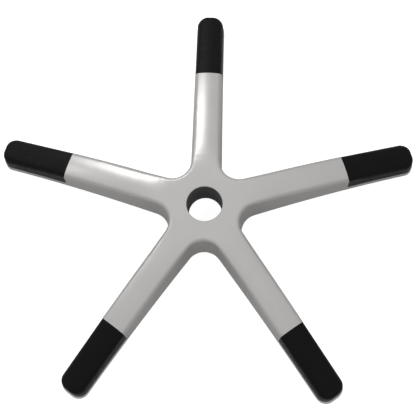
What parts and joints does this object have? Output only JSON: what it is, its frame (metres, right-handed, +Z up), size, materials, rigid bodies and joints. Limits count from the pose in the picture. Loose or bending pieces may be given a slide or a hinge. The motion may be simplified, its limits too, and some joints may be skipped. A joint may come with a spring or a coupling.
{
  "type": "office chair five star base",
  "caption": "Star-shaped die-cast office chair base with a tapered lift socket in its hub, sloping arms, moulded step pads on the tips and caster sockets below.",
  "frame": {"origin": "on the hub axis, at the lower mouth of the lift socket", "axes": "+Z up along the hub axis, +Y along arm 1"},
  "size_m": [0.606, 0.578, 0.091],
  "materials": {
    "silver_casting": "satin silver paint",
    "black_pad": "fine grained"
  },
  "bodies": {
    "root": {"base_casting": "silver_casting", "step_pad_1": "black_pad", "step_pad_2": "black_pad", "step_pad_3": "black_pad", "step_pad_4": "black_pad", "step_pad_5": "black_pad"}
  },
  "joints": []
}
